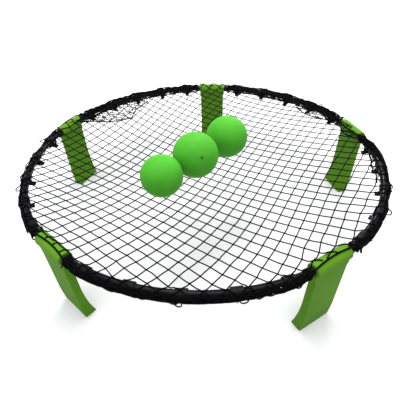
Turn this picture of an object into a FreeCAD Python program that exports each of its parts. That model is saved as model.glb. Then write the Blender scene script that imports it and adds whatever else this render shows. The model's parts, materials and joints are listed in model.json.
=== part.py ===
"""Roundnet set: a five-legged ring on the ground, a net laced across it, and three rubber balls.

Millimetres, +Z up. The origin is on the ground at the ring's centre, and leg 1 stands on +Y.
"""
import FreeCAD, Part
import math
import os
from FreeCAD import Vector, Rotation, Placement

# --- driving sizes -------------------------------------------------------------------------
LEGS = 5
SECTOR = 360 / LEGS          # degrees from one leg to the next
FIRST_LEG = 90               # azimuth of leg 1, degrees from +X

RING_R = 450                 # ring centre to the tubes' centreline
RIM_Z = 195                  # ground to the tubes' centreline

TUBE_R = 7.0
TUBE_BORE_R = 5.5
HEAD_HALF = 44               # half the width of a leg's head, along the ring
HEAD_R = 15                  # round head on top of each leg
PIVOT_R = 7.5                # straight middle of a joiner, which the head turns on
PIVOT_CLEARANCE = 0.05
GAP = 0.5                    # between a head and the collars beside it

HEAD_ANGLE = math.degrees(math.asin(HEAD_HALF / RING_R))
HINGE_R = RING_R * math.cos(math.radians(HEAD_ANGLE))
TUBE_START = HEAD_ANGLE + 0.19   # the tube ends lie square to the ring, so they stand a little clear

SPIGOT_R = 5.4
SPIGOT_ANGLE = 2.8           # length of a joiner's spigot inside a tube, in degrees of the ring

COLLAR_R = 10.0              # end collars, beside each head
COLLAR_ANGLE = 1.9
HOOK_COLLAR_R = 9.75
HOOK_COLLAR_ANGLE = 3.0
COLLAR_BORE_R = TUBE_R + 0.1
HOOKS_PER_TUBE = 5
HOOK_STEP = 12               # degrees from one hook to the next
HOOK_WIDTH = 12
HOOK_THICK = 4.4
EDGE_ROUND = 1.0

LEG_HALF = 41.5              # half the leg's width below the head
LEG_OUT = 458.7              # radius of the leg's outer face
LEG_IN = 442.2               # radius of its inner face
FOOT_OUT = 455.5
FOOT_IN = 429.0
OUTER_BEND_Z = 55            # below this height the outer face curves in
INNER_BEND_Z = 95            # below this height the inner face sweeps in to the foot
SHOULDER_TOP = 177           # the head's cheeks taper in to the leg between these heights
SHOULDER_LOW = 171
LEG_WALL = 3.0
CAVITY_TOP = 172
RIB_THICK = 2.5
RIB_OFFSET = 13              # two ribs stand inside, this far each side of the middle
RIB_LOW = 6                  # and stop this far above the ground
TOOL_DEPTH = 60              # solids that cut a leg or the net reach this far along the radius
FOOT_BULGE = 0.8             # how far the outer face bows out, midway down to the foot
FOOT_SWEEP = 3.4             # how far the inner face has moved in, midway down to the foot
CORNER_ROUND = 1.6
HEAD_ROUND = 2.0

POCKET_WIDTH = 18            # square pocket in the head's upper inner side
POCKET_SPAN = 14
POCKET_FLOOR_R = 11
POCKET_TILT = 45             # degrees from straight up, towards the ring's centre
DIMPLE_R = 2.5
DIMPLE_OFFSET = -17
DIMPLE_FLOOR_R = 12
DIMPLE_TILT = 72

NET_R = 437
NET_BOTTOM = RIM_Z + 6.5
NET_THICK = 2.0
NET_NOTCH_R = 428            # the net's edge steps back to here at each head
NET_NOTCH_HALF = 52

ROPE_R = 2.0
KNOT_R = 4.6

BALL_WALL = 1.2
BALL_LIFT = 0.3              # gap between a ball and the net
VALVE_R = 3.0
VALVE_DEPTH = 0.8
VALVE_FLOOR = 0.3            # left under the hole that takes the pump's needle
NEEDLE_R = 0.6
# radius, centre x, centre y, valve azimuth, valve elevation
BALLS = [
    (47.4, -72.9, -191.0, -150, -35),
    (53.8, -5.7, -113.5, -67, 24),
    (52.0, 64.8, -21.4, 140, 10),
]

# Corners of the edge rope's route past one leg: (degrees round the ring from the leg, degrees
# round the tube from straight outward, distance from the tube's axis). The rope lies on top of
# the front heads, behind the back ones, and outside the tubes between them.
ROPE_OVER_HEAD = [
    (-9.5, 14, 14.6), (-6.7, 60, 18.6), (-2.3, 79, 17.9),
    (2.1, 81, 17.9), (6.3, 66, 18.4), (9.4, 12, 14.6),
]
ROPE_BEHIND_HEAD = [
    (-9.5, 2, 14.8), (-6.7, 14, 18.3), (-2.3, 22, 18.3),
    (2.1, 22, 18.3), (6.3, 13, 18.3), (9.4, 0, 14.8),
]
ROPE_ALONG_TUBE = [
    (12.6, -18, 13.2), (18, -29, 12.9), (24.5, -23, 13.2), (30, -31, 12.9), (36.5, -24, 13.2),
    (42, -30, 12.9), (48, -22, 13.2), (54, -28, 12.9), (59.4, -17, 13.2),
]
# At the last leg the rope has slipped off the head to its inner side.
ROPE_SLIPPED = [
    (-9.5, 118, 14.0), (-6.7, 136, 18.4), (-2.3, 150, 18.0),
    (2.1, 155, 18.0), (6.6, 142, 18.6), (9.4, 126, 14.2),
]
ROPE_INTO_SLIP = [
    (12.6, -18, 13.2), (18, -29, 12.9), (24.5, -23, 13.2), (30, -31, 12.9), (36.5, -24, 13.2),
    (42, -26, 12.9), (48, -6, 13.4), (54, 38, 13.6), (59.4, 86, 13.8),
]
ROPE_OUT_OF_SLIP = [
    (12.6, 94, 13.8), (18, 40, 13.6), (24.5, -4, 13.4), (30, -26, 12.9), (36.5, -24, 13.2),
    (42, -30, 12.9), (48, -22, 13.2), (54, -28, 12.9), (59.4, -17, 13.2),
]
LEGS_WITH_ROPE_BEHIND = (1, 2)   # the back legs
KNOT_LEG = 4                 # the rope's two ends are tied just beside this leg
KNOT_AT = (8.2, 36, 15.6)
KNOT_TAIL = (7.4, 4, 19.5)
KNOT_SPACE = 0.35            # degrees from the knot's middle to each rope end

Z = Vector(0, 0, 1)
ORIGIN = Vector(0, 0, 0)
PARTS = {}


# --- helpers ---------------------------------------------------------------------------------
def leg_azimuth(number):
    return FIRST_LEG + (number - 1) * SECTOR


def turned(shape, azimuth):
    """A shape made at azimuth 0, moved round the ring."""
    copy = shape.copy()
    copy.Placement = Placement(ORIGIN, Rotation(Z, azimuth)).multiply(copy.Placement)
    return copy


def ring_point(azimuth, lift, distance, axis_radius=RING_R):
    """A point `distance` from the tube's axis, `lift` degrees round it from straight outward."""
    radius = axis_radius + distance * math.cos(math.radians(lift))
    height = RIM_Z + distance * math.sin(math.radians(lift))
    a = math.radians(azimuth)
    return Vector(radius * math.cos(a), radius * math.sin(a), height)


def ring_bar(outer_r, inner_r, start, span):
    """A round bar or sleeve that follows the ring from `start` through `span` degrees."""
    centre = Vector(RING_R, 0, RIM_Z)
    side = Vector(0, 1, 0)
    face = Part.Face(Part.Wire(Part.makeCircle(outer_r, centre, side)))
    if inner_r:
        face = face.cut(Part.Face(Part.Wire(Part.makeCircle(inner_r, centre, side))))
    return turned(face.revolve(ORIGIN, Z, span), start)


def polygon_solid(points, push):
    """The closed outline through `points`, pushed along a vector. An item of three points is an arc."""
    edges = []
    last = None
    for item in points:
        if isinstance(item, tuple):
            edges.append(Part.Arc(last, item[0], item[1]).toShape())
            last = item[1]
            continue
        if last is not None:
            edges.append(Part.LineSegment(last, item).toShape())
        last = item
    edges.append(Part.LineSegment(last, points[0]).toShape())
    return Part.Face(Part.Wire(edges)).extrude(push)


def rounded(shape, radius, wanted):
    """`shape` with the edges that `wanted` picks filleted."""
    edges = [edge for edge in shape.Edges if wanted(edge)]
    return shape.makeFillet(radius, edges)


def is_upright(edge):
    """True for the long edges that run up a leg's body."""
    direction = edge.tangentAt(edge.FirstParameter)
    box = edge.BoundBox
    return abs(direction.z) > 0.9 and box.ZLength > 12


# --- the ring --------------------------------------------------------------------------------
def rim_tube():
    return ring_bar(TUBE_R, TUBE_BORE_R, TUBE_START, SECTOR - 2 * TUBE_START)


def end_collar(start):
    """A collar on a tube's end, which stops it against a head."""
    return softened(ring_bar(COLLAR_R, COLLAR_BORE_R, start, COLLAR_ANGLE), COLLAR_R)


def softened(collar, outer_r):
    """A collar with its two outer rims rounded."""
    def outer_rim(edge):
        return edge.Curve.TypeId == "Part::GeomCircle" and abs(edge.Curve.Radius - outer_r) < 0.01
    return rounded(collar, EDGE_ROUND, outer_rim)


def net_hook():
    """A collar with a finger under it, pointing in and down, at azimuth 0."""
    collar = ring_bar(HOOK_COLLAR_R, COLLAR_BORE_R, -HOOK_COLLAR_ANGLE / 2, HOOK_COLLAR_ANGLE)
    collar = softened(collar, HOOK_COLLAR_R)

    def at(out, down):
        return Vector(RING_R + out, -HOOK_WIDTH / 2, RIM_Z - down)

    root_out, root_in = 4.5, 0.5
    elbow_down, tip_down = 15.5, 18.6
    tip_in = -12.5
    outline = [
        at(root_out, 8.4),
        (at(3.0, 13.6), at(-2.0, elbow_down + HOOK_THICK - 1.6)),
        at(tip_in, tip_down + HOOK_THICK / 2),
        (at(tip_in - HOOK_THICK / 2, tip_down), at(tip_in, tip_down - HOOK_THICK / 2)),
        at(-2.6, elbow_down - 1.5),
        (at(-0.2, 12.4), at(root_in, 8.6)),
    ]
    finger = polygon_solid(outline, Vector(0, HOOK_WIDTH, 0))
    return collar.fuse(finger).removeSplitter()


def joiner():
    """The straight pivot through a head, with a curved spigot into the tube at each end."""
    half = HEAD_HALF + 0.2
    pivot = Part.makeCylinder(PIVOT_R, 2 * half, Vector(HINGE_R, -half, RIM_Z), Vector(0, 1, 0))
    spigot = ring_bar(SPIGOT_R, 0, HEAD_ANGLE - 0.2, SPIGOT_ANGLE + 0.2)
    other = ring_bar(SPIGOT_R, 0, -HEAD_ANGLE - SPIGOT_ANGLE, SPIGOT_ANGLE + 0.2)
    return pivot.fuse([spigot, other]).removeSplitter()


# --- a leg -----------------------------------------------------------------------------------
def side_profile(wall, top):
    """The leg's outline seen along the ring, moved in by `wall`, as a slab of the leg's full width."""
    reach = HEAD_HALF + 10

    def at(radius, height):
        return Vector(radius, -reach, height)

    foot = -1 if wall else 0      # the inside is cut a little past the foot
    outline = [
        at(LEG_IN + wall, top),
        at(LEG_OUT - wall, top),
        at(LEG_OUT - wall, OUTER_BEND_Z),
        (at((LEG_OUT + FOOT_OUT) / 2 + FOOT_BULGE - wall, OUTER_BEND_Z / 2), at(FOOT_OUT - wall, foot)),
        at(FOOT_IN + wall, foot),
        (at(LEG_IN - FOOT_SWEEP + wall, INNER_BEND_Z / 2), at(LEG_IN + wall, INNER_BEND_Z)),
    ]
    return polygon_solid(outline, Vector(0, 2 * reach, 0))


def front_profile():
    """The leg's outline seen from outside, as a slab deeper than the leg."""
    def at(side, height):
        return Vector(FOOT_IN - 10, side, height)

    outline = [
        at(-HEAD_HALF, RIM_Z), at(-HEAD_HALF, SHOULDER_TOP), at(-LEG_HALF, SHOULDER_LOW), at(-LEG_HALF, 0),
        at(LEG_HALF, 0), at(LEG_HALF, SHOULDER_LOW), at(HEAD_HALF, SHOULDER_TOP), at(HEAD_HALF, RIM_Z),
    ]
    return polygon_solid(outline, Vector(LEG_OUT - FOOT_IN + 20, 0, 0))


def cavity_block(low, high):
    """The space between two sides of the leg's inside, as deep as the leg."""
    return Part.makeBox(TOOL_DEPTH, high - low, CAVITY_TOP + 1, Vector(FOOT_IN - 5, low, -1))


def head_pocket(width, span, floor_r, tilt, offset):
    """A square-sided pocket that enters the head `tilt` degrees from straight up, towards the centre."""
    box = Part.makeBox(span, width, HEAD_R, Vector(-span / 2, offset - width / 2, floor_r))
    box.Placement = Placement(Vector(HINGE_R, 0, RIM_Z), Rotation(Vector(0, 1, 0), -tilt))
    return box


def head_dimple():
    dimple = Part.makeCylinder(DIMPLE_R, HEAD_R, Vector(0, DIMPLE_OFFSET, DIMPLE_FLOOR_R), Z)
    dimple.Placement = Placement(Vector(HINGE_R, 0, RIM_Z), Rotation(Vector(0, 1, 0), -DIMPLE_TILT))
    return dimple


def leg():
    """One moulded leg at azimuth 0: a round head, a bowed box section below it, open at the foot."""
    body = side_profile(0, RIM_Z).common(front_profile())
    body = rounded(body, CORNER_ROUND, is_upright)
    across = Vector(0, 1, 0)
    head = Part.makeCylinder(HEAD_R, 2 * HEAD_HALF, Vector(HINGE_R, -HEAD_HALF, RIM_Z), across)
    head = rounded(head, HEAD_ROUND, lambda edge: edge.Curve.TypeId == "Part::GeomCircle")
    inside = LEG_HALF - LEG_WALL
    cavity = side_profile(LEG_WALL, CAVITY_TOP).common(cavity_block(-inside, inside))
    for side in (-RIB_OFFSET, RIB_OFFSET):
        corner = Vector(FOOT_IN - 5, side - RIB_THICK / 2, RIB_LOW)
        rib = Part.makeBox(TOOL_DEPTH, RIB_THICK, CAVITY_TOP, corner)
        cavity = cavity.cut(rib)
    bore = Part.makeCylinder(
        PIVOT_R + PIVOT_CLEARANCE, 4 * HEAD_HALF, Vector(HINGE_R, -2 * HEAD_HALF, RIM_Z), across
    )
    pocket = head_pocket(POCKET_WIDTH, POCKET_SPAN, POCKET_FLOOR_R, POCKET_TILT, 0)
    return body.fuse(head).cut([cavity, bore, pocket, head_dimple()]).removeSplitter()


# --- the net and its rope --------------------------------------------------------------------
def net():
    """The stretched net as a thin disc, stepped back from the heads."""
    disc = Part.makeCylinder(NET_R, NET_THICK, Vector(0, 0, NET_BOTTOM))
    corner = Vector(NET_NOTCH_R, -NET_NOTCH_HALF, NET_BOTTOM - NET_THICK)
    notch = Part.makeBox(TOOL_DEPTH, 2 * NET_NOTCH_HALF, 3 * NET_THICK, corner)
    return disc.cut([turned(notch, leg_azimuth(n)) for n in range(1, LEGS + 1)])


def rope_corner(leg_number, degrees, lift, distance):
    over_head = abs(degrees) < HEAD_ANGLE
    axis = HINGE_R / math.cos(math.radians(degrees)) if over_head else RING_R
    return ring_point(leg_azimuth(leg_number) + degrees, lift, distance, axis)


def rope_corners():
    """The corners of the rope's route, from the knot once round the ring and back to it."""
    degrees, lift, distance = KNOT_AT
    stretches = [(KNOT_LEG, [(degrees + KNOT_SPACE, lift, distance)] + ROPE_INTO_SLIP)]
    stretches.append((LEGS, ROPE_SLIPPED + ROPE_OUT_OF_SLIP))
    for number in range(1, KNOT_LEG):
        past_head = ROPE_BEHIND_HEAD if number in LEGS_WITH_ROPE_BEHIND else ROPE_OVER_HEAD
        stretches.append((number, past_head + ROPE_ALONG_TUBE))
    stretches.append((KNOT_LEG, ROPE_OVER_HEAD[:-1] + [(degrees - KNOT_SPACE, lift, distance)]))
    return [rope_corner(number, *corner) for number, corners in stretches for corner in corners]


def smooth_route(corners):
    """Straight runs joined by tangent arcs through the inner corners, as a wire, and the radii."""
    edges = []
    radii = []
    here = corners[0]
    for before, corner, after in zip(corners, corners[1:], corners[2:]):
        back = before - corner
        ahead = after - corner
        half_turn = (math.pi - back.getAngle(ahead)) / 2
        reach = 0.45 * min(back.Length, ahead.Length)
        radius = reach / math.tan(half_turn)
        start = corner + back.normalize() * reach
        end = corner + ahead.normalize() * reach
        inward = (back + ahead).normalize()
        middle = corner + inward * (radius / math.cos(half_turn) - radius)
        edges.append(Part.LineSegment(here, start).toShape())
        edges.append(Part.Arc(start, middle, end).toShape())
        radii.append(radius)
        here = end
    edges.append(Part.LineSegment(here, corners[-1]).toShape())
    return Part.Wire(edges), radii


def edge_rope():
    wire, radii = smooth_route(rope_corners())
    first = wire.Edges[0]
    start = first.valueAt(first.FirstParameter)
    section = Part.Wire(Part.makeCircle(ROPE_R, start, first.tangentAt(first.FirstParameter)))
    rope = wire.makePipeShell([section], True, True)
    fill = rope.Volume / (math.pi * ROPE_R**2 * wire.Length)
    print(f"rope {wire.Length:.0f} mm, radii {min(radii):.0f} to {max(radii):.0f} mm, fill {fill:.4f}")
    return rope


def rope_knot():
    """The knot where the rope's two ends are tied, with one tail."""
    centre = rope_corner(KNOT_LEG, *KNOT_AT)
    tail_end = rope_corner(KNOT_LEG, *KNOT_TAIL)
    tail = Part.makeCylinder(ROPE_R, (tail_end - centre).Length, centre, tail_end - centre)
    return Part.makeSphere(KNOT_R, centre).fuse(tail)


# --- the balls -------------------------------------------------------------------------------
def ball(radius, x, y, valve_azimuth, valve_elevation):
    """A hollow ball on the net and the plug in its skin."""
    centre = Vector(x, y, NET_BOTTOM + NET_THICK + BALL_LIFT + radius)
    turn = Rotation(Z, valve_azimuth).multiply(Rotation(Vector(0, 1, 0), 90 - valve_elevation))
    seat = Part.makeCylinder(VALVE_R, VALVE_DEPTH + 2, Vector(0, 0, radius - VALVE_DEPTH))
    needle_hole = Part.makeCylinder(NEEDLE_R, radius, Vector(0, 0, radius - VALVE_DEPTH + VALVE_FLOOR))
    shell = Part.makeSphere(radius).cut(Part.makeSphere(radius - BALL_WALL)).cut(seat)
    plug = seat.common(Part.makeSphere(radius)).cut(needle_hole)
    for shape in (shell, plug):
        shape.Placement = Placement(centre, turn)
    return shell, plug


# --- the whole set ---------------------------------------------------------------------------
def build():
    # one group of pieces for each leg, at its own angle round the ring
    sets = {
        "leg": [(leg(), 0)],
        "joiner": [(joiner(), 0)],
        "rim_tube": [(rim_tube(), 0)],
        "end_collar": [
            (end_collar(TUBE_START), 0),
            (end_collar(-TUBE_START - COLLAR_ANGLE), SECTOR),
        ],
        "net_hook": [(net_hook(), HOOK_STEP * step) for step in range(1, HOOKS_PER_TUBE + 1)],
    }
    for name, pieces in sets.items():
        for number in range(1, LEGS + 1):
            for place, (shape, angle) in enumerate(pieces, 1):
                index = (number - 1) * len(pieces) + place
                PARTS[f"{name}_{index}"] = turned(shape, leg_azimuth(number) + angle)
    PARTS["net"] = net()
    PARTS["edge_rope"] = edge_rope()
    PARTS["rope_knot"] = rope_knot()
    for number, sizes in enumerate(BALLS, 1):
        PARTS[f"ball_{number}"], PARTS[f"ball_valve_{number}"] = ball(*sizes)


build()
os.makedirs("parts", exist_ok=True)
for name, shape in PARTS.items():
    shape.exportStep(f"parts/{name}.step")
    box = shape.optimalBoundingBox()
    volume = shape.Volume / 1000
    print(f"{name:14} valid {shape.isValid()} {volume:7.1f} cm3, z {box.ZMin:5.1f} to {box.ZMax:5.1f}")
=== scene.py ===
import json
import math

import bpy
import numpy as np
from mathutils import Matrix, Vector


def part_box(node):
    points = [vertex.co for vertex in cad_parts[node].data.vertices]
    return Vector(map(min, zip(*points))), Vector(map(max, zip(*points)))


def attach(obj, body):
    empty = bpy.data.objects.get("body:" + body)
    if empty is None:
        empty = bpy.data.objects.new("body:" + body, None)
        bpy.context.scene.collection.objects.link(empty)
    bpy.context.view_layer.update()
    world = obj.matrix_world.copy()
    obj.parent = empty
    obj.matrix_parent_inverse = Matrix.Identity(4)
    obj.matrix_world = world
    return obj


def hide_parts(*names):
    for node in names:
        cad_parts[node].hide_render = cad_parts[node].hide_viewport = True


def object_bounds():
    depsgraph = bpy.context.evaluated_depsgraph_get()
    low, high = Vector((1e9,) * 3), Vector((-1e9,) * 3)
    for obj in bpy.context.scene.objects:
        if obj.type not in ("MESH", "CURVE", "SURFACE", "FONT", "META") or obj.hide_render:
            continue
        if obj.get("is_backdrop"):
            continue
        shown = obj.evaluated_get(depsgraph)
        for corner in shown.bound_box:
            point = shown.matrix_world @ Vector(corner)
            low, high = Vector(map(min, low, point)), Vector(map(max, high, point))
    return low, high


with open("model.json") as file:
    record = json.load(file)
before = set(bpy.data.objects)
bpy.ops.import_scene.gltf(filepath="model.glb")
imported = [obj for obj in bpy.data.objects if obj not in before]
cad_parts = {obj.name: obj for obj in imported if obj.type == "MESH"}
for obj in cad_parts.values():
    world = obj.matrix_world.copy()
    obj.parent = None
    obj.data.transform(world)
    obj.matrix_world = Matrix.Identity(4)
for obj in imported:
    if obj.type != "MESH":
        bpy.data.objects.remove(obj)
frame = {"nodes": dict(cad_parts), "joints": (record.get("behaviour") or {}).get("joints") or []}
cad_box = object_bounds()

MM = 0.001
rng = np.random.default_rng(36)

# --- sizes of the real set, in metres and degrees ----------------------------------------------
LEGS = 5
SECTOR = 360 / LEGS
FIRST_LEG = 90
HOOK_STEP = 12
HOOKS = [leg * SECTOR + HOOK_STEP * step + FIRST_LEG for leg in range(LEGS) for step in range(1, 6)]

RING_R = 450 * MM
HEAD_HALF = 44 * MM
HEAD_ANGLE = math.degrees(math.asin(HEAD_HALF / RING_R))
HINGE_R = math.hypot(*frame["joints"][0]["pos_m"][:2])
TUBE_LOW, TUBE_HIGH = (corner.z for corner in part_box("rim_tube_1"))
RIM_Z = (TUBE_LOW + TUBE_HIGH) / 2
TUBE_R = (TUBE_HIGH - TUBE_LOW) / 2
COLLAR_R = 10 * MM
HEAD_R = 15 * MM
NET_Z = (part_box("net")[0].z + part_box("net")[1].z) / 2
NET_RISE = NET_Z - RIM_Z

CORD_R = 1.3 * MM
CORD_LAY = 5 * MM                    # length of one turn of the yarns in a net cord
ROPE_R = 2 * MM
ROPE_LAY = 15 * MM                   # length of one turn of the rope's strands
ROPE_YARN_LAY = 4 * MM

KNOT_REACH = 1.8 * MM                # a net knot's size, from its middle
KNOT_RISE = 0.3 * MM
KNOT_CORD_R = 0.9 * MM
KNOT_END = 3 * MM                    # no knots nearer than this to the edge rope

LATTICE_SPAN = 40                    # cords of each family either side of the middle one
LATTICE_REACHES = (0.64, 0.54, 0.50, 0.49, 0.49)    # knots further out are dropped, round by round
NET_CENTRE = np.array([0.004, -0.006])
PER_STRAND = 4                       # points on a cord from one knot to the next
STRAND_SLACK = 0.018                 # sideways bow of a cord between knots, over its length
LOOSE_MIDDLE = 0.3 * MM              # how irregular the knots' places are in the middle
LOOSE_RIM = 1.56 * MM                # and how much more at the rim

GATHER_RUNS = 17
GATHER_SPREAD = 100                  # degrees round the tube that the gathered net covers
BACK_SPREAD = 250                    # and along the back, where it is bunched all round the tube
HEAD_CLEAR = HEAD_ANGLE + 1.2        # degrees from a leg to where the gathered net starts
TANGLE_STEP = 2.3                    # degrees between the snarls along the rope
TANGLED_HOOKS = (15, 175)            # azimuths between which the hooks carry snarls
SNARLS_PER_HOOK = 3
SLACK_CELL = 9.5 * MM                # width of a mesh in the slack netting
SLACK_MISSING = 0.12                 # share of its cords that are left out

BALL_SEAM = 0.12 * MM                # how far the moulding line stands out
SEAM_TURN = 0.012                    # and half its width, in radians round the ball
BALL_ROWS = 72
BALL_COLUMNS = 120
VALVE_R = 3 * MM
VALVE_LIP = 0.15 * MM                # the gap round the valve, and the edge let in beside it

FLOOR_HALF = 60                      # half the floor's side, in metres
CAMERA_PLACE = Vector((0.0734, -0.7816, 0.680))
CAMERA_AHEAD = Vector((-0.0828, 0.7645, -0.6393))
CAMERA_UP = Vector((-0.0330, 0.6391, 0.7685))
CAMERA_LENS = 30.34
SENSOR = 36                          # both in millimetres


# --- places round the ring ---------------------------------------------------------------------
def leg_azimuth(number):
    return FIRST_LEG + (number - 1) * SECTOR


def from_leg(azimuth):
    """Degrees from the nearest leg, signed."""
    return (np.asarray(azimuth, float) - FIRST_LEG + SECTOR / 2) % SECTOR - SECTOR / 2


def axis_radius(azimuth):
    """Ring centre to the axis of the tube, or of the straight pivot inside a leg's head."""
    rel = from_leg(azimuth)
    in_head = np.abs(rel) < HEAD_ANGLE
    return np.where(in_head, HINGE_R / np.cos(np.radians(rel)), RING_R)


def ring_points(azimuth, lift, distance):
    """Points `distance` from the tube's axis, `lift` degrees round it from straight outward."""
    azimuth, lift, distance = (np.asarray(value, float) for value in (azimuth, lift, distance))
    radius = axis_radius(azimuth) + distance * np.cos(np.radians(lift))
    height = RIM_Z + distance * np.sin(np.radians(lift))
    a = np.radians(azimuth)
    return np.stack([radius * np.cos(a), radius * np.sin(a), height + 0 * a], -1)


def bump_between(value, low, high, soft):
    """1 between low and high, falling smoothly to 0 over `soft` outside them."""
    rise = np.clip((value - low) / soft + 1, 0, 1)
    fall = np.clip((high - value) / soft + 1, 0, 1)
    both = rise * fall
    return both * both * (3 - 2 * both)


def rim_radius(azimuth):
    """How thick the rim is at an azimuth: the tube, its collars and the leg heads."""
    azimuth = np.asarray(azimuth, float)
    rel = from_leg(azimuth)
    off_hook = (rel - HOOK_STEP / 2) % HOOK_STEP - HOOK_STEP / 2
    on_hook = bump_between(off_hook, -1.5, 1.5, 0.9) * (np.abs(rel) > 9)
    on_end = bump_between(np.abs(rel), HEAD_ANGLE, HEAD_ANGLE + 2.1, 0.7)
    on_head = bump_between(np.abs(rel), -1, HEAD_ANGLE, 0.6)
    radius = TUBE_R + (COLLAR_R - TUBE_R) * np.maximum(on_hook, on_end)
    return radius + (HEAD_R - radius) * on_head


# --- mesh tools --------------------------------------------------------------------------------
def new_piece(name, verts, faces, material, body="ring", uv=None):
    mesh = bpy.data.meshes.new(name)
    mesh.from_pydata([tuple(v) for v in verts], [], [tuple(f) for f in faces])
    if uv is not None:
        layer = mesh.uv_layers.new(name="cord")
        layer.data.foreach_set("uv", np.asarray(uv, np.float32).ravel())
    mesh.polygons.foreach_set("use_smooth", [True] * len(mesh.polygons))
    mesh.materials.append(material)
    piece = bpy.data.objects.new(name, mesh)
    bpy.context.scene.collection.objects.link(piece)
    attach(piece, body)
    return piece


def frames_along(points, closed=False):
    """Unit tangents, normals and binormals that turn as little as possible along a path."""
    if closed:
        tangents = np.roll(points, -1, 0) - np.roll(points, 1, 0)
    else:
        tangents = np.gradient(points, axis=0)
    tangents /= np.linalg.norm(tangents, axis=1)[:, None] + 1e-12
    start = np.array([0, 0, 1.0]) if abs(tangents[0][2]) < 0.9 else np.array([1.0, 0, 0])
    normals = np.empty_like(points)
    normal = start - tangents[0] * (start @ tangents[0])
    for i, tangent in enumerate(tangents):
        normal = normal - tangent * (normal @ tangent)
        normal /= np.linalg.norm(normal) + 1e-12
        normals[i] = normal
    return tangents, normals, np.cross(tangents, normals)


class Cords:
    """Collects round cords along paths into one mesh, with UVs that run along each cord."""

    def __init__(self, sides, lay=CORD_LAY):
        self.sides = sides
        self.lay = lay
        self.verts = []
        self.faces = []
        self.uv = []
        self.count = 0

    def add(self, points, radius, closed=False):
        points = np.asarray(points, float)
        n = len(points)
        tangents, normals, sideways = frames_along(points, closed)
        turn = np.linspace(0, 2 * math.pi, self.sides, endpoint=False)[:, None]
        ring = normals[:, None] * np.cos(turn) + sideways[:, None] * np.sin(turn)
        self.verts.append((points[:, None] + ring * radius).reshape(-1, 3))
        steps = np.linalg.norm(np.diff(points, axis=0), axis=1)
        if closed:
            steps = np.append(steps, steps[0])
        along = np.concatenate([[0], np.cumsum(steps)]) / self.lay
        for i, (low, high) in enumerate(zip(along, along[1:])):
            here = self.count + i * self.sides
            there = self.count + (i + 1) % n * self.sides
            for k in range(self.sides):
                k2 = (k + 1) % self.sides
                self.faces.append((here + k, here + k2, there + k2, there + k))
                around, around2 = k / self.sides, (k + 1) / self.sides
                self.uv += [(around, low), (around2, low), (around2, high), (around, high)]
        first_ring = self.count
        last_ring = first_ring + (n - 1) * self.sides
        self.count += n * self.sides
        if not closed:
            self.cap(points[0] - tangents[0] * radius * 0.6, first_ring, True)
            self.cap(points[-1] + tangents[-1] * radius * 0.6, last_ring, False)

    def cap(self, tip, ring, flip):
        """A blunt end on an open cord: its end ring of vertices closed at `tip`."""
        self.verts.append(tip[None])
        for k in range(self.sides):
            k2 = (k + 1) % self.sides
            around = (ring + k2, ring + k) if flip else (ring + k, ring + k2)
            self.faces.append((*around, self.count))
            self.uv += [(0, 0)] * 3
        self.count += 1

    def piece(self, name, material=None, slot="net_cord"):
        material = material or NET_BLACK
        return new_piece(name, np.concatenate(self.verts), self.faces, material, uv=self.uv)


def curve_points(controls, closed=False, spacing=2.5 * MM):
    """Points along a smooth NURBS line with the given control points."""
    curve = bpy.data.curves.new("line", "CURVE")
    curve.dimensions = "3D"
    spline = curve.splines.new("NURBS")
    spline.points.add(len(controls) - 1)
    for point, place in zip(spline.points, controls):
        point.co = (*place, 1)
    spline.order_u = 3
    spline.use_endpoint_u = not closed
    spline.use_cyclic_u = closed
    spline.resolution_u = 12
    holder = bpy.data.objects.new("line", curve)
    bpy.context.scene.collection.objects.link(holder)
    bpy.context.view_layer.update()
    mesh = bpy.data.meshes.new_from_object(holder)
    points = np.array([v.co for v in mesh.vertices], float)
    bpy.data.objects.remove(holder)
    bpy.data.curves.remove(curve)
    bpy.data.meshes.remove(mesh)
    return spaced(points, spacing, closed)


def spaced(points, spacing, closed=False):
    """The same line with points an even distance apart."""
    if closed:
        points = np.vstack([points, points[:1]])
    keep = np.concatenate([[True], np.linalg.norm(np.diff(points, axis=0), axis=1) > 1e-7])
    points = points[keep]
    along = np.concatenate([[0], np.cumsum(np.linalg.norm(np.diff(points, axis=0), axis=1))])
    count = max(3, int(round(along[-1] / spacing)) + 1)
    wanted = np.linspace(0, along[-1], count)
    if closed:
        wanted = wanted[:-1]
    return np.stack([np.interp(wanted, along, points[:, k]) for k in range(3)], -1)


def wander(azimuth, size, waves, seed):
    """A smooth random wander round the ring that meets itself after a full turn."""
    source = np.random.default_rng(seed)
    total = np.zeros_like(azimuth, dtype=float)
    for wave in waves:
        phase = source.uniform(0, 2 * math.pi)
        weight = source.uniform(0.6, 1.2)
        total += weight * np.sin(np.radians(azimuth) * wave + phase)
    return size * total / math.sqrt(len(waves))


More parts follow.
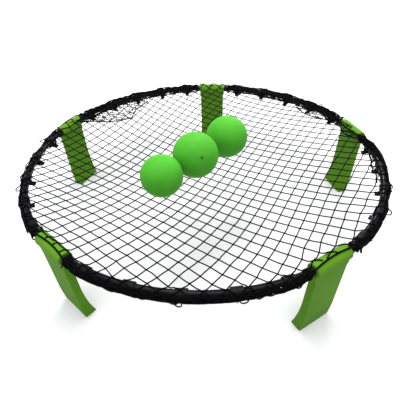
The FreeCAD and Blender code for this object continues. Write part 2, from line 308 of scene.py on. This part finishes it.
# --- materials ---------------------------------------------------------------------------------
class Paint:
    """A node material with its own small helpers for adding nodes."""

    def __init__(self, name):
        self.material = bpy.data.materials.new(name)
        self.material.use_nodes = True
        self.tree = self.material.node_tree
        self.shader = self.tree.nodes["Principled BSDF"]
        self.texture = self.add("ShaderNodeTexCoord")

    def add(self, kind, **inputs):
        node = self.tree.nodes.new(kind)
        for key, value in inputs.items():
            node.inputs[key.replace("_", " ")].default_value = value
        return node

    def link(self, source, target):
        self.tree.links.new(source, target)

    def set(self, **inputs):
        for key, value in inputs.items():
            self.shader.inputs[key.replace("_", " ")].default_value = value

    def noise(self, scale, detail=2.0, roughness=0.5):
        node = self.add("ShaderNodeTexNoise", Scale=scale, Detail=detail, Roughness=roughness)
        self.link(self.texture.outputs["Object"], node.inputs["Vector"])
        return node.outputs["Fac"]

    def ramp(self, source, stops):
        node = self.add("ShaderNodeValToRGB")
        elements = node.color_ramp.elements
        while len(elements) < len(stops):
            elements.new(0.5)
        for element, (place, colour) in zip(elements, stops):
            element.position = place
            element.color = (*colour, 1)
        self.link(source, node.inputs["Fac"])
        return node.outputs["Color"]

    def spread(self, source, low, high, out_low, out_high):
        """The source's range low..high, brought to out_low..out_high."""
        node = self.add("ShaderNodeMapRange", From_Min=low, From_Max=high, To_Min=out_low, To_Max=out_high)
        self.link(source, node.inputs["Value"])
        return node.outputs["Result"]

    def maths(self, operation, first, second):
        node = self.add("ShaderNodeMath")
        node.operation = operation
        for place, value in enumerate((first, second)):
            if isinstance(value, (int, float)):
                node.inputs[place].default_value = value
            else:
                self.link(value, node.inputs[place])
        return node.outputs["Value"]

    def bump(self, height, strength, distance):
        node = self.add("ShaderNodeBump", Strength=strength, Distance=distance)
        self.link(height, node.inputs["Height"])
        self.link(node.outputs["Normal"], self.shader.inputs["Normal"])

    def colour(self, source, dark, light, low=0.3, high=0.7):
        """The paint's colour: from dark to light as the source rises from low to high."""
        shade = self.ramp(source, [(low, dark), (high, light)])
        self.link(shade, self.shader.inputs["Base Color"])

    def roughness(self, source):
        self.link(source, self.shader.inputs["Roughness"])


def moulded_green():
    """Satin moulded plastic of the legs, slightly cloudy, with a fine moulded grain."""
    paint = Paint("leg_green")
    cloud = paint.noise(9, 3, 0.6)
    paint.colour(cloud, (0.064, 0.180, 0.008), (0.078, 0.207, 0.011))
    paint.roughness(paint.spread(paint.noise(60, 4, 0.7), 0.3, 0.7, 0.60, 0.72))
    paint.set(Specular_IOR_Level=0.06)
    grain = paint.noise(1600, 2, 0.5)
    paint.bump(grain, 0.12, 0.0004)
    return paint.material


def glossy_black():
    """Polished black tube."""
    paint = Paint("tube_black")
    paint.colour(paint.noise(14, 3), (0.003, 0.003, 0.0035), (0.006, 0.006, 0.007))
    paint.roughness(paint.spread(paint.noise(45, 5, 0.7), 0.35, 0.7, 0.07, 0.14))
    paint.set(Specular_IOR_Level=0.05)
    paint.bump(paint.noise(70, 2), 0.05, 0.0006)
    return paint.material


def satin_black():
    """Moulded black plastic of the collars, hooks and joiners."""
    paint = Paint("fitting_black")
    paint.colour(paint.noise(25, 3), (0.004, 0.004, 0.0045), (0.008, 0.008, 0.009))
    paint.roughness(paint.spread(paint.noise(90, 4, 0.7), 0.3, 0.7, 0.36, 0.48))
    paint.set(Specular_IOR_Level=0.05)
    paint.bump(paint.noise(1500, 2), 0.10, 0.0003)
    return paint.material


def twisted_cord(name, dark, light, roughness):
    """Nylon cord: yarns that wind round it, by the UVs that run along each cord, with painted shade in the
    grooves between the yarns.
    """
    paint = Paint(name)
    split = paint.add("ShaderNodeSeparateXYZ")
    paint.link(paint.texture.outputs["UV"], split.inputs["Vector"])
    wound = paint.maths("ADD", paint.maths("MULTIPLY", split.outputs["X"], 2.0), split.outputs["Y"])
    wave = paint.maths("SINE", paint.maths("MULTIPLY", wound, 2 * math.pi), 0.0)
    fuzz = paint.noise(900, 2, 0.6)
    # The colour follows the bump's height (the yarns' wave plus the fuzz). It is darker where the surface
    # is lower, which is painted shade in the grooves between the yarns.
    shade = paint.maths("ADD", paint.maths("MULTIPLY", wave, 0.25), fuzz)
    paint.colour(shade, dark, light, 0.25, 0.8)
    paint.roughness(paint.spread(fuzz, 0.3, 0.7, roughness - 0.08, roughness + 0.08))
    paint.set(Specular_IOR_Level=0.04)
    paint.bump(paint.maths("ADD", wave, fuzz), 0.5, 0.0002)
    return paint.material


def ball_rubber():
    """Smooth bright rubber with a soft bloom."""
    paint = Paint("ball_green")
    cloud = paint.noise(22, 3, 0.55)
    paint.colour(cloud, (0.050, 0.300, 0.016), (0.058, 0.325, 0.019))
    paint.roughness(paint.spread(paint.noise(120, 4, 0.7), 0.3, 0.7, 0.56, 0.68))
    paint.set(Subsurface_Weight=0.5, Subsurface_Scale=0.02, Specular_IOR_Level=0.12)
    paint.bump(paint.noise(1100, 2, 0.5), 0.10, 0.0003)
    return paint.material


def dark_rubber():
    """Darker green rubber of the plug that a ball is pumped up through."""
    paint = Paint("valve_dark")
    paint.colour(paint.noise(300, 3), (0.010, 0.035, 0.006), (0.020, 0.060, 0.010))
    paint.roughness(paint.spread(paint.noise(600, 3), 0.3, 0.7, 0.5, 0.7))
    paint.bump(paint.noise(1500, 2), 0.2, 0.0003)
    return paint.material


LEG_GREEN = moulded_green()
TUBE_BLACK = glossy_black()
FITTING_BLACK = satin_black()
NET_BLACK = twisted_cord("net_black", (0.0006, 0.0006, 0.0008), (0.0024, 0.0024, 0.0028), 0.80)
ROPE_BLACK = twisted_cord("rope_black", (0.0008, 0.0008, 0.0010), (0.0034, 0.0034, 0.0040), 0.78)
BALL_GREEN = ball_rubber()
VALVE_DARK = dark_rubber()

# The first start of a name that fits a node gives its paint.
NODE_PAINTS = [
    ("leg_", LEG_GREEN),
    ("rim_tube_", TUBE_BLACK),
    ("joiner_", FITTING_BLACK),
    ("end_collar_", FITTING_BLACK),
    ("net_hook_", FITTING_BLACK),
    ("net", NET_BLACK),
    ("rope_knot", ROPE_BLACK),
    ("edge_rope", ROPE_BLACK),
    ("ball_valve_", VALVE_DARK),
    ("ball_", BALL_GREEN),
]


def paint_nodes():
    for name, node in frame["nodes"].items():
        material = next(paint for start, paint in NODE_PAINTS if name.startswith(start))
        for place in node.material_slots:
            place.material = material


# --- the edge rope -----------------------------------------------------------------------------
# The rope's route past one leg: (degrees round the ring from the leg, degrees round the tube from
# straight outward, mm from the tube's axis).
ROPE_OVER_HEAD = [
    (-9.5, 14, 14.6), (-6.7, 60, 18.6), (-2.3, 79, 17.9),
    (2.1, 81, 17.9), (6.3, 66, 18.4), (9.4, 12, 14.6),
]
ROPE_BEHIND_HEAD = [
    (-9.5, 2, 14.8), (-6.7, 14, 18.3), (-2.3, 22, 18.3),
    (2.1, 22, 18.3), (6.3, 13, 18.3), (9.4, 0, 14.8),
]
ROPE_ALONG_TUBE = [
    (12.6, -18, 13.2), (18, -29, 12.9), (24.5, -23, 13.2), (30, -31, 12.9), (36.5, -24, 13.2),
    (42, -30, 12.9), (48, -22, 13.2), (54, -28, 12.9), (59.4, -17, 13.2),
]
ROPE_SLIPPED = [
    (-9.5, 118, 14.0), (-6.7, 136, 18.4), (-2.3, 150, 18.0),
    (2.1, 155, 18.0), (6.6, 142, 18.6), (9.4, 126, 14.2),
]
ROPE_INTO_SLIP = [
    (12.6, -18, 13.2), (18, -29, 12.9), (24.5, -23, 13.2), (30, -31, 12.9), (36.5, -24, 13.2),
    (42, -26, 12.9), (48, -6, 13.4), (54, 38, 13.6), (59.4, 86, 13.8),
]
ROPE_OUT_OF_SLIP = [
    (12.6, 94, 13.8), (18, 40, 13.6), (24.5, -4, 13.4), (30, -26, 12.9), (36.5, -24, 13.2),
    (42, -30, 12.9), (48, -22, 13.2), (54, -28, 12.9), (59.4, -17, 13.2),
]
LEGS_WITH_ROPE_BEHIND = (1, 2)
KNOT_LEG = 4
KNOT_AT = (8.2, 36, 15.6)            # the knot's place, written like the route's
KNOT_SPACE = 0.35                    # degrees from the knot's middle to where the rope enters it


def rope_place(leg_number, degrees, lift, distance):
    return ring_points(leg_azimuth(leg_number) + degrees, lift, distance * MM)


def rope_route():
    degrees, lift, distance = KNOT_AT
    stretches = [(KNOT_LEG, [(degrees + KNOT_SPACE, lift, distance)] + ROPE_INTO_SLIP)]
    stretches.append((LEGS, ROPE_SLIPPED + ROPE_OUT_OF_SLIP))
    for number in range(1, KNOT_LEG):
        past_head = ROPE_BEHIND_HEAD if number in LEGS_WITH_ROPE_BEHIND else ROPE_OVER_HEAD
        stretches.append((number, past_head + ROPE_ALONG_TUBE))
    stretches.append((KNOT_LEG, ROPE_OVER_HEAD[:-1] + [(degrees - KNOT_SPACE, lift, distance)]))
    return [rope_place(number, *corner) for number, corners in stretches for corner in corners]


ROPE_LINE = curve_points(rope_route(), spacing=2 * MM)


def laid_rope(cords, line, radius, lay):
    """Three strands laid round each other along a line."""
    tangents, normals, sideways = frames_along(line)
    along = np.concatenate([[0], np.cumsum(np.linalg.norm(np.diff(line, axis=0), axis=1))])
    strand_r = radius * 0.52
    for strand in range(3):
        turn = 2 * math.pi * (along / lay + strand / 3)
        offset = normals * np.cos(turn)[:, None] + sideways * np.sin(turn)[:, None]
        cords.add(line + offset * (radius - strand_r), strand_r)


def edge_rope():
    cords = Cords(6, ROPE_YARN_LAY)
    laid_rope(cords, ROPE_LINE, ROPE_R, ROPE_LAY)
    rope = cords.piece("edge_rope_laid", ROPE_BLACK, "edge_cord")
    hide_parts("edge_rope")


def rope_round_ring():
    """The rope's azimuth, lift and distance, sorted round the ring."""
    azimuth = np.degrees(np.arctan2(ROPE_LINE[:, 1], ROPE_LINE[:, 0])) % 360
    out = np.hypot(ROPE_LINE[:, 0], ROPE_LINE[:, 1]) - axis_radius(azimuth)
    up = ROPE_LINE[:, 2] - RIM_Z
    order = np.argsort(azimuth)
    lift = np.degrees(np.arctan2(up, out))
    return azimuth[order], lift[order], np.hypot(out, up)[order]


ROPE_AZIMUTH, ROPE_LIFT, ROPE_DISTANCE = rope_round_ring()


def rope_at(azimuth):
    azimuth = np.asarray(azimuth, float) % 360
    lift = np.interp(azimuth, ROPE_AZIMUTH, ROPE_LIFT, period=360)
    distance = np.interp(azimuth, ROPE_AZIMUTH, ROPE_DISTANCE, period=360)
    return lift, distance


# --- the net -----------------------------------------------------------------------------------
# The two families of cords step from knot to knot by these amounts (mm) at twelve places on the
# net: rows from the front to the back, columns from left to right.
COLUMN_PLACES = (-280, 0, 280)
ROW_PLACES = (-400, -280, 0, 280)
STEPS_RISING = [
    [(16.5, 17.5), (16.5, 17.0), (12.0, 26.5)],
    [(17.0, 13.5), (11.5, 19.0), (12.3, 23.5)],
    [(13.5, 22.0), (8.5, 24.5), (13.0, 26.3)],
    [(4.5, 29.5), (11.5, 29.0), (14.5, 26.0)],
]
STEPS_FALLING = [
    [(-22.5, 16.5), (-23.0, 14.5), (-21.5, 6.5)],
    [(-25.5, 13.5), (-21.7, 11.5), (-25.0, 5.5)],
    [(-24.5, 17.5), (-21.8, 12.0), (-24.2, 6.3)],
    [(-25.0, 19.5), (-23.3, 19.5), (-24.0, 9.5)],
]


def curve_weights(value, places):
    """Weights of the values at `places` for the smooth curve through them, at `value`."""
    weights = []
    for place in places:
        others = [other for other in places if other != place]
        weights.append(np.prod([(value - other) / (place - other) for other in others], axis=0))
    return np.stack(weights, -1)


def steps_at(places, table):
    across = curve_weights(np.clip(places[:, 0] / MM, -400, 400), COLUMN_PLACES)
    deep = curve_weights(np.clip(places[:, 1] / MM, -420, 400), ROW_PLACES)
    return np.einsum("nr,nc,rck->nk", deep, across, np.array(table)) * MM


def relaxed(places):
    """Knot places moved so that the cords between them follow both step tables best."""
    index = {key: number for number, key in enumerate(places)}
    here = np.array(list(places.values()))
    count = len(here)
    network = np.zeros((count, count))
    pull = np.zeros((count, 2))
    for table, (di, dj) in ((STEPS_RISING, (1, 0)), (STEPS_FALLING, (0, 1))):
        starts = [key for key in index if (key[0] + di, key[1] + dj) in index]
        first = np.array([index[key] for key in starts])
        second = np.array([index[key[0] + di, key[1] + dj] for key in starts])
        step = steps_at((here[first] + here[second]) / 2, table)
        for a, b, sign in ((first, second, -1), (second, first, 1)):
            np.add.at(network, (a, a), 1)
            np.add.at(network, (a, b), -1)
            np.add.at(pull, a, sign * step)
    centre = index[0, 0]
    network[centre, centre] += 1
    pull[centre] += NET_CENTRE
    return dict(zip(index, np.linalg.solve(network, pull)))


def lay_out_knots():
    """Where the net's knots lie in plan, for each pair of cords that cross."""
    rising = np.array(STEPS_RISING[2][1]) * MM
    falling = np.array(STEPS_FALLING[2][1]) * MM
    span = range(-LATTICE_SPAN, LATTICE_SPAN + 1)
    places = {(i, j): i * rising + j * falling + NET_CENTRE for i in span for j in span}
    for reach in LATTICE_REACHES:
        places = {key: place for key, place in places.items() if np.hypot(*place) < reach}
        places = relaxed(places)
    index = {key: number for number, key in enumerate(places)}
    return index, np.array(list(places.values()))


def over_rim(azimuth):
    """A net cord's way from the flat net over the rim to the rope.

    Returns how far out the net lies flat, the lift where the cord meets the rim, how far the lift
    falls to the rope, that stretch's length, and its distances from the tube's axis at both ends.
    """
    rim = rim_radius(azimuth) + CORD_R + 0.3 * MM
    rope_lift, rope_distance = rope_at(azimuth)
    start = 180 - np.degrees(np.arcsin(np.clip(NET_RISE / rim, 0, 1)))
    change = np.maximum(start - rope_lift, 1)
    length = (rim + (rope_distance - rim) / 3) * np.radians(change)
    reach = axis_radius(azimuth) + rim * np.cos(np.radians(start))
    return reach, start, change, length, rim, rope_distance


def draped(plan):
    """Places of a line over the net and the rim, and how far past the rope they would be."""
    radius = np.hypot(plan[:, 0], plan[:, 1])
    azimuth = np.degrees(np.arctan2(plan[:, 1], plan[:, 0]))
    reach, start, change, length, rim, rope_distance = over_rim(azimuth)
    past = radius - reach
    share = np.clip(past / length, 0, 1)
    lift = start - change * share
    distance = rim + (rope_distance - rim) * share**2
    over = ring_points(azimuth, lift, distance)
    flat = np.column_stack([plan, np.full(len(plan), NET_Z)])
    return np.where((past > 0)[:, None], over, flat), past - length


def loosened(places):
    """Small irregularities of the knots, larger near the rim."""
    radius = np.hypot(places[:, 0], places[:, 1])
    size = LOOSE_MIDDLE + LOOSE_RIM * np.clip((radius - 0.34) / 0.1, 0, 1) ** 2
    return places + rng.normal(0, 1, places.shape) * size[:, None]


def family_lines(index, places, along):
    """The net's cords of one family, each as the places of its knots in order."""
    groups = {}
    for (i, j), n in index.items():
        key, order = (j, i) if along == 0 else (i, j)
        groups.setdefault(key, []).append((order, n))
    for key in sorted(groups):
        members = sorted(groups[key])
        run = [members[0]]
        for member in members[1:]:
            if member[0] == run[-1][0] + 1:
                run.append(member)
        yield places[[n for _, n in run]]


def strand_line(knots):
    """A line through the knots with a slight slack between them."""
    points = []
    for a, b in zip(knots, knots[1:]):
        side = np.array([-(b - a)[1], (b - a)[0]])
        slack = rng.normal(0, STRAND_SLACK)
        for k in range(PER_STRAND):
            t = k / PER_STRAND
            points.append(a + (b - a) * t + side * slack * 4 * t * (1 - t))
    points.append(knots[-1])
    return np.array(points)


def over_head(places):
    """True where a place is above a leg's head or its swing."""
    places = np.asarray(places)
    azimuth = np.degrees(np.arctan2(places[..., 1], places[..., 0]))
    outer = np.hypot(places[..., 0], places[..., 1]) > HINGE_R - HEAD_R - 6 * MM
    return outer & (np.abs(from_leg(azimuth)) < HEAD_ANGLE + 0.8)


def netting():
    """The crossing cords, each ending on the rope, with a loop round the rope at both ends."""
    index, places = lay_out_knots()
    places = loosened(places)
    cords = Cords(5)
    loops = Cords(6)
    for along in (0, 1):
        for knots in family_lines(index, places, along):
            plan = strand_line(knots)
            line, beyond = draped(plan)
            inside = np.flatnonzero(beyond < 0)
            if len(inside) < 3:
                continue
            first, last = inside[0], inside[-1]
            line = line[first:last + 1]
            cords.add(line, CORD_R)
            for end in (line[0], line[-1]):
                if not over_head(end):
                    rope_loop(loops, end)
    net = cords.piece("netting")
    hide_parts("net")
    loops.piece("net_edge_loops")
    net_knots(places)


def rope_loop(cords, place):
    """A small loop of net cord round the edge rope nearest to a place."""
    away = np.linalg.norm(ROPE_LINE - place, axis=1)
    n = int(np.clip(away.argmin(), 1, len(ROPE_LINE) - 2))
    centre = ROPE_LINE[n]
    tangent = ROPE_LINE[n + 1] - ROPE_LINE[n - 1]
    tangent /= np.linalg.norm(tangent)
    slant = tangent + rng.normal(0, 0.25, 3)
    slant /= np.linalg.norm(slant)
    first = np.cross(slant, [0, 0, 1.0])
    first /= np.linalg.norm(first)
    second = np.cross(slant, first)
    turn = np.linspace(0, 2 * math.pi, 9, endpoint=False)[:, None]
    radius = ROPE_R + CORD_R * 0.9
    cords.add(centre + (first * np.cos(turn) + second * np.sin(turn)) * radius, CORD_R, closed=True)


def net_knots(places):
    """A small knot at each crossing: two turns of cord drawn tight round each other."""
    line, beyond = draped(places)
    cords = Cords(4)
    turn = np.linspace(0, 2 * math.pi, 7, endpoint=False)[:, None]
    for centre in line[(beyond < -KNOT_END) & ~over_head(line)]:
        heading = rng.uniform(0, math.pi)
        ahead = np.array([math.cos(heading), math.sin(heading), 0])
        across = np.array([-ahead[1], ahead[0], 0])
        up = np.array([0, 0, 1.0])
        for flat in (ahead, across):
            ring = centre + (flat * KNOT_REACH * np.cos(turn) + up * KNOT_RISE * np.sin(turn))
            cords.add(ring, KNOT_CORD_R, closed=True)
    cords.piece("net_knots")


# --- gathered net round the rim ----------------------------------------------------------------
def rim_room(azimuth):
    """How far from the tube's axis a net cord lies when it touches the rim."""
    return rim_radius(azimuth) + CORD_R + 0.4 * MM


def gathered_edge():
    """The net's spare edge, drawn together along the rope between the heads."""
    cords = Cords(5)
    for leg in range(1, LEGS + 1):
        azimuth = leg_azimuth(leg) + np.arange(HEAD_CLEAR, SECTOR - HEAD_CLEAR, 0.45)
        rope_lift, rope_distance = rope_at(azimuth)
        at_back = bump_between(azimuth % 360, 30, 150, 14)
        for run in range(GATHER_RUNS):
            spread = GATHER_SPREAD + (BACK_SPREAD - GATHER_SPREAD) * at_back
            shift = spread * (run / (GATHER_RUNS - 1) - 0.5) + 25 * at_back
            lift = rope_lift + shift + wander(azimuth, 13, (11, 17, 29, 43, 61), 100 + run)
            lump = np.abs(wander(azimuth, 2.4 * MM, (23, 37, 53, 71), 200 + run)) + 1.6 * MM * at_back
            nearest = rim_room(azimuth)
            beside_rope = np.exp(-((lift - rope_lift) / 24) ** 2)
            clear_of_rope = (rope_distance + ROPE_R + CORD_R - nearest) * beside_rope * (run % 2)
            cords.add(ring_points(azimuth, lift, nearest + np.maximum(lump, clear_of_rope)), CORD_R)
    cords.piece("gathered_edge")


def tangles():
    """Small snarls of slack net cord along the rope."""
    cords = Cords(5)
    for leg in range(1, LEGS + 1):
        for start in np.arange(HEAD_CLEAR + 1.5, SECTOR - HEAD_CLEAR - 1.5, TANGLE_STEP):
            centre = leg_azimuth(leg) + start + rng.uniform(-0.8, 0.8)
            turns = rng.integers(6, 10)
            azimuth = centre + np.cumsum(rng.normal(0, 0.6, turns)).clip(-1.6, 1.6)
            lift = rope_at(centre)[0] - 8 + np.cumsum(rng.normal(0, 18, turns)).clip(-40, 40)
            distance = rim_room(azimuth) + (1 + np.abs(rng.normal(0, 2.2, turns))) * MM
            line = curve_points(ring_points(azimuth, lift, distance), spacing=2.2 * MM)
            cords.add(line, CORD_R)
    low, high = TANGLED_HOOKS
    for hook in [hook for hook in HOOKS if low < hook % 360 < high]:
        for _ in range(SNARLS_PER_HOOK):
            azimuth = hook + rng.normal(0, 0.9, 9).clip(-1.6, 1.6)
            lift = 190 + np.cumsum(rng.normal(0, 18, 9)).clip(-40, 30)
            distance = COLLAR_R + CORD_R + (1 + np.abs(rng.normal(0, 2.6, 9))) * MM
            cords.add(curve_points(ring_points(azimuth, lift, distance), spacing=2.2 * MM), CORD_R)
    cords.piece("net_tangles")


# Loops that stand off the rim: azimuth, degrees round the tube, mm past the rim, degrees wide.
STRAY_LOOPS = [
    (175.4, 12, 12, 1.1), (190.0, -5, 9, 1.6), (203.5, 0, 11, 1.2), (215.1, -30, 8, 1.5),
    (225.2, -40, 8, 1.6), (253.0, -56, 9, 1.9), (261.5, -60, 9, 1.0), (269.3, -56, 10, 0.9),
    (283.6, -58, 9, 1.1), (286.5, -50, 8, 0.8), (243.0, -52, 7, 1.4), (277.0, -62, 6, 1.6),
    (331.7, -8, 10, 1.3), (344.0, 0, 7, 1.2), (38.0, 40, 9, 0.9), (55.0, 35, 6, 1.0),
    (112.0, 38, 6, 1.1), (136.0, 30, 6, 1.2),
]
SMALL_LOOPS = (170, 352, 3.4)        # azimuths of the small ones between them: first, last and step


def stray_loops():
    """Loops of the net's edge that stand off the rim, with small ones between them at the front."""
    cords = Cords(6)
    small = [
        (azimuth + rng.uniform(-1, 1), rng.uniform(-85, -50), rng.uniform(4, 9), rng.uniform(0.8, 1.9))
        for azimuth in np.arange(*SMALL_LOOPS)
        if abs(from_leg(azimuth)) > HEAD_CLEAR + 2.5
    ]
    for azimuth, lift, reach, width in STRAY_LOOPS + small:
        room = rim_room(azimuth) / MM
        skew = rng.uniform(-0.4, 0.4) * width
        shape = [
            (-1.6, 20, 1), (-0.9, 6, reach * 0.5), (-0.75, 0, reach), (0.1, -4, reach * 1.3),
            (0.8, 0, reach), (0.7, 4, reach * 0.5), (1.5, 18, 1),
        ]
        line = [
            ring_points(azimuth + side * width + skew * out / reach, lift + turn, (room + out) * MM)
            for side, turn, out in shape
        ]
        cords.add(curve_points(line, spacing=1.6 * MM), CORD_R)
    cords.piece("stray_loops")


def hook_loops():
    """Loops of net cord from the rope, under the tube and round the root of each hook."""
    cords = Cords(6)
    for azimuth in HOOKS:
        for loop in range(3):
            width = 0.95 + 0.25 * loop + rng.uniform(-0.05, 0.1)
            slack = rng.uniform(-0.6, 0.6) * (1 + loop)
            side = rng.uniform(0.3, 1.2)
            near = [
                (-width - side, -26, 12.4), (-width, -52, 13.4),
                (-width, -84, 14.0), (-width * 0.8, -112, 14.2),
            ]
            far = [(-turn, lift, distance) for turn, lift, distance in reversed(near)]
            line = [
                ring_points(azimuth + turn, lift, (distance + slack) * MM)
                for turn, lift, distance in near + [(0, -120, 13.2)] + far
            ]
            cords.add(curve_points(line, spacing=2.2 * MM), CORD_R)
    cords.piece("hook_loops")


# Slack netting that lies on the net beside the rim. Each patch is its number of rows of meshes and
# its outline: (azimuth, mm in from the rim).
SLACK_PATCHES = [
    (8, [
        (160, 26), (157, 70), (154, 108), (149, 134), (143, 148),
        (139, 124), (134, 104), (129, 92), (125, 74),
    ]),
    (3, [(125, 60), (121, 34), (117, 44), (113, 22), (109, 30), (104, 12), (99, 14)]),
    (2, [(82, 10), (77, 18), (72, 14), (67, 24), (62, 12), (56, 20), (50, 14)]),
    (5, [(49, 14), (45, 40), (41, 60), (36, 66), (31, 60), (28, 44), (25, 34)]),
    (3, [(23, 14), (19, 30), (15, 38), (12, 34), (9, 18)]),
    (2, [(-1, 10), (-5, 15), (-9, 18), (-13, 12), (-18, 9)]),
]


def slack_patch(cords, rows, outline):
    """Small uneven meshes between the rim and an outline, with a doubled cord along the outline."""
    azimuths, depths = np.array(outline[::-1], float).T
    columns = int(np.ptp(azimuths) * math.radians(RING_R) / SLACK_CELL)
    column_azimuth = np.linspace(azimuths[0], azimuths[-1], columns)
    depth = np.interp(column_azimuth, azimuths, depths) * MM
    edge_r = RING_R - TUBE_R - 2 * MM
    bottom = NET_Z + 2 * CORD_R + 0.4 * MM
    nodes = {}
    for column in range(columns):
        for row in range(column % 2, rows + 1, 2):
            share = row / rows
            spin = math.radians(column_azimuth[column] + rng.normal(0, 0.35))
            radius = edge_r - depth[column] * share + rng.normal(0, 2.2) * MM * (row > 0)
            height = bottom + (abs(rng.normal(0, 1.4)) + 2.2 * math.sin(math.pi * share)) * MM
            nodes[column, row] = np.array([radius * math.cos(spin), radius * math.sin(spin), height])
    wobble = np.array([1.8, 1.8, 0.6]) * MM
    for (column, row), place in nodes.items():
        for step in (-1, 1):
            after = nodes.get((column + step, row + 1))
            if after is None or rng.random() < SLACK_MISSING:
                continue
            middle = (place + after) / 2 + rng.normal(0, 1, 3) * wobble
            middle[2] = max(middle[2], bottom)
            cords.add(curve_points([place, middle, after], spacing=3 * MM), CORD_R * 0.85)
    for _ in range(2):
        spin = np.radians(column_azimuth)
        radius = edge_r - depth + rng.normal(0, 1.5, columns) * MM
        height = bottom + (0.8 + np.abs(rng.normal(0, 0.9, columns))) * MM
        line = np.stack([radius * np.cos(spin), radius * np.sin(spin), height], -1)
        cords.add(curve_points(line, spacing=3 * MM), CORD_R)


def slack_netting():
    cords = Cords(5)
    for rows, outline in SLACK_PATCHES:
        slack_patch(cords, rows, outline)
    cords.piece("slack_netting")


# --- balls -------------------------------------------------------------------------------------
def ball(number):
    """A rubber ball's skin, open where its valve sits, with a faint moulding line."""
    low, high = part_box(f"ball_{number}")
    centre = (low + high) / 2
    radius = (high.z - low.z) / 2
    valve_low, valve_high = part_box(f"ball_valve_{number}")
    valve = ((valve_low + valve_high) / 2 - centre).normalized()
    spin = Vector((0, 0, 1)).rotation_difference(valve).to_matrix()
    opening = math.asin((VALVE_R + VALVE_LIP) / radius)
    latitudes = [opening, opening, *np.linspace(opening + 0.01, math.pi - 0.03, BALL_ROWS)]
    reaches = [radius - 0.6 * MM, radius - VALVE_LIP]
    reaches += [
        radius + BALL_SEAM * math.exp(-((turn - math.pi / 2) / SEAM_TURN) ** 2)
        for turn in latitudes[2:]
    ]
    verts = []
    for latitude, reach in zip(latitudes, reaches):
        for column in range(BALL_COLUMNS):
            around = 2 * math.pi * column / BALL_COLUMNS
            flat = math.sin(latitude)
            spot = Vector((flat * math.cos(around), flat * math.sin(around), math.cos(latitude)))
            verts.append(centre + spin @ spot * reach)
    faces = []
    for row in range(len(latitudes) - 1):
        for column in range(BALL_COLUMNS):
            after = (column + 1) % BALL_COLUMNS
            here, there = row * BALL_COLUMNS, (row + 1) * BALL_COLUMNS
            faces.append((here + column, there + column, there + after, here + after))
    last = (len(latitudes) - 1) * BALL_COLUMNS
    verts.append(centre - spin @ Vector((0, 0, radius)))
    for column in range(BALL_COLUMNS):
        faces.append((last + (column + 1) % BALL_COLUMNS, last + column, len(verts) - 1))
    piece = new_piece(f"ball_{number}_skin", verts, faces, BALL_GREEN, f"ball_{number}")
    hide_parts(f"ball_{number}")


# --- stage -------------------------------------------------------------------------------------
def floor_material():
    paint = Paint("floor_white")
    paint.colour(paint.noise(2, 2), (0.585, 0.587, 0.590), (0.600, 0.600, 0.600))
    paint.set(Roughness=0.9, Specular_IOR_Level=0.1)
    return paint.material


def stage():
    corners = [(-1, -1), (1, -1), (1, 1), (-1, 1)]
    mesh = bpy.data.meshes.new("floor")
    mesh.from_pydata([(x * FLOOR_HALF, y * FLOOR_HALF, 0) for x, y in corners], [], [(0, 1, 2, 3)])
    mesh.materials.append(floor_material())
    floor = bpy.data.objects.new("floor", mesh)
    bpy.context.scene.collection.objects.link(floor)
    floor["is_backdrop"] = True


def soft_light(name, place, aim, size, power):
    light = bpy.data.lights.new(name, "AREA")
    light.shape = "DISK"
    light.size = size
    light.energy = power
    lamp = bpy.data.objects.new(name, light)
    lamp.location = place
    lamp.rotation_euler = (Vector(aim) - Vector(place)).to_track_quat("-Z", "Y").to_euler()
    bpy.context.scene.collection.objects.link(lamp)


def soft_sun(strength, spread):
    light = bpy.data.lights.new("sky_panel", "SUN")
    light.energy = strength
    light.angle = math.radians(spread)
    lamp = bpy.data.objects.new("sky_panel", light)
    bpy.context.scene.collection.objects.link(lamp)


def lighting():
    world = bpy.data.worlds.new("studio")
    world.use_nodes = True
    world.node_tree.nodes["Background"].inputs["Color"].default_value = (0.95, 0.97, 1.0, 1)
    world.node_tree.nodes["Background"].inputs["Strength"].default_value = 0.6
    bpy.context.scene.world = world
    soft_sun(4.7, 64)
    soft_light("overhead", (-0.3, 0.5, 2.2), (0, 0, 0.2), 0.4, 14)
    soft_light("back_right", (0.65, 1.65, 1.35), (0.35, -0.2, 0.2), 0.6, 16)
    bpy.context.scene.view_settings.view_transform = "Standard"


def camera():
    data = bpy.data.cameras.new("camera")
    data.sensor_width = SENSOR
    data.lens = CAMERA_LENS
    ahead = CAMERA_AHEAD.normalized()
    right = ahead.cross(CAMERA_UP).normalized()
    up = right.cross(ahead)
    turned = Matrix((right, up, -ahead)).transposed().to_4x4()
    view = bpy.data.objects.new("camera", data)
    view.matrix_world = Matrix.Translation(CAMERA_PLACE) @ turned
    bpy.context.scene.collection.objects.link(view)
    bpy.context.scene.camera = view


camera()
stage()
lighting()
paint_nodes()
edge_rope()
netting()
gathered_edge()
tangles()
stray_loops()
hook_loops()
slack_netting()
for number in (1, 2, 3):
    ball(number)

boxes = {"cad": cad_box, "visual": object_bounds()}
{name: [list(corner) for corner in box] for name, box in boxes.items()}
